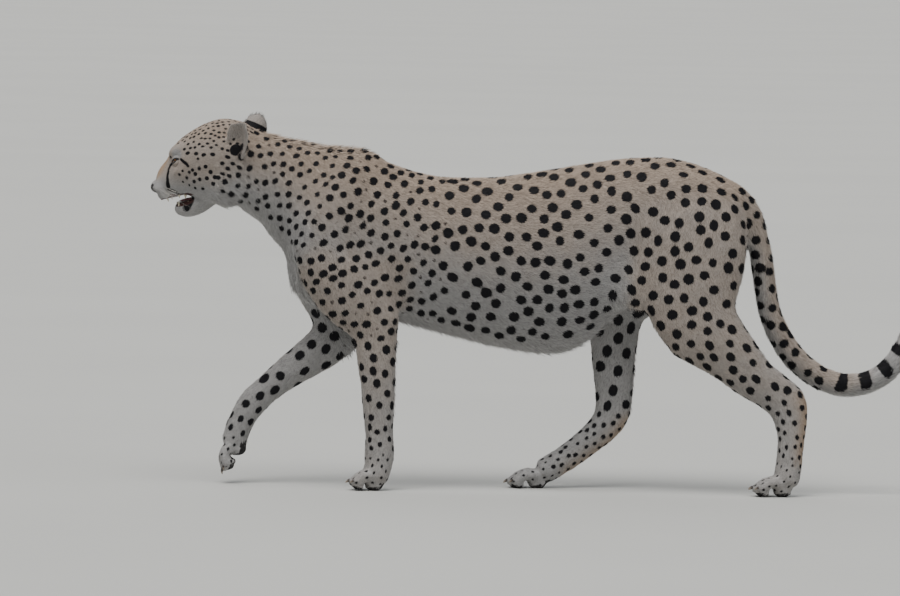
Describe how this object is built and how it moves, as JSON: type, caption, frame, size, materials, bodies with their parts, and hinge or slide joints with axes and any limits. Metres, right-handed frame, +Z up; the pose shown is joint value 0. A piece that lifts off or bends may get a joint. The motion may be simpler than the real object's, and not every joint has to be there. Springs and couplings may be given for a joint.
{
  "type": "cheetah",
  "caption": "Life-size walking cheetah, left forefoot planted, right forefoot lifted, head low, tail curling up, mouth slightly open, with a spotted tan coat.",
  "frame": {"origin": "middle of the bounding box at floor level", "axes": "+X along the body towards the tail, so the animal faces -X; +Y is its right side; +Z up"},
  "size_m": [1.7298, 0.2472, 0.8401],
  "materials": {
    "coat": "short fur, tan above and whitish below, with solid black spots",
    "eye": "wet amber eyeball with a black pupil",
    "nose_leather": "damp black pebbled nose leather",
    "tongue": "dark pink, slightly wet",
    "tooth": "ivory enamel",
    "claw": "dark worn horn"
  },
  "bodies": {
    "root": {"belly": "coat", "chest": "coat", "head": "coat", "left_ear": "coat", "left_eye": "eye", "left_forearm": "coat", "left_forepaw": "coat", "left_forepaw_claw_1": "claw", "left_forepaw_claw_2": "claw", "left_forepaw_claw_3": "claw", "left_forepaw_claw_4": "claw", "left_hindpaw": "coat", "left_hindpaw_claw_1": "claw", "left_hindpaw_claw_2": "claw", "left_hindpaw_claw_3": "claw", "left_hindpaw_claw_4": "claw", "left_lower_canine": "tooth", "left_metatarsus": "coat", "left_shank": "coat", "left_thigh": "coat", "left_upper_arm": "coat", "left_upper_canine": "tooth", "lower_jaw": "coat", "neck": "coat", "nose": "nose_leather", "right_ear": "coat", "right_eye": "eye", "right_forearm": "coat", "right_forepaw": "coat", "right_forepaw_claw_1": "claw", "right_forepaw_claw_2": "claw", "right_forepaw_claw_3": "claw", "right_forepaw_claw_4": "claw", "right_hindpaw": "coat", "right_hindpaw_claw_1": "claw", "right_hindpaw_claw_2": "claw", "right_hindpaw_claw_3": "claw", "right_hindpaw_claw_4": "claw", "right_lower_canine": "tooth", "right_metatarsus": "coat", "right_shank": "coat", "right_thigh": "coat", "right_upper_arm": "coat", "right_upper_canine": "tooth", "rump": "coat", "tail_lower": "coat", "tail_middle": "coat", "tail_root": "coat", "tail_tip": "coat", "tongue": "tongue"}
  },
  "joints": []
}
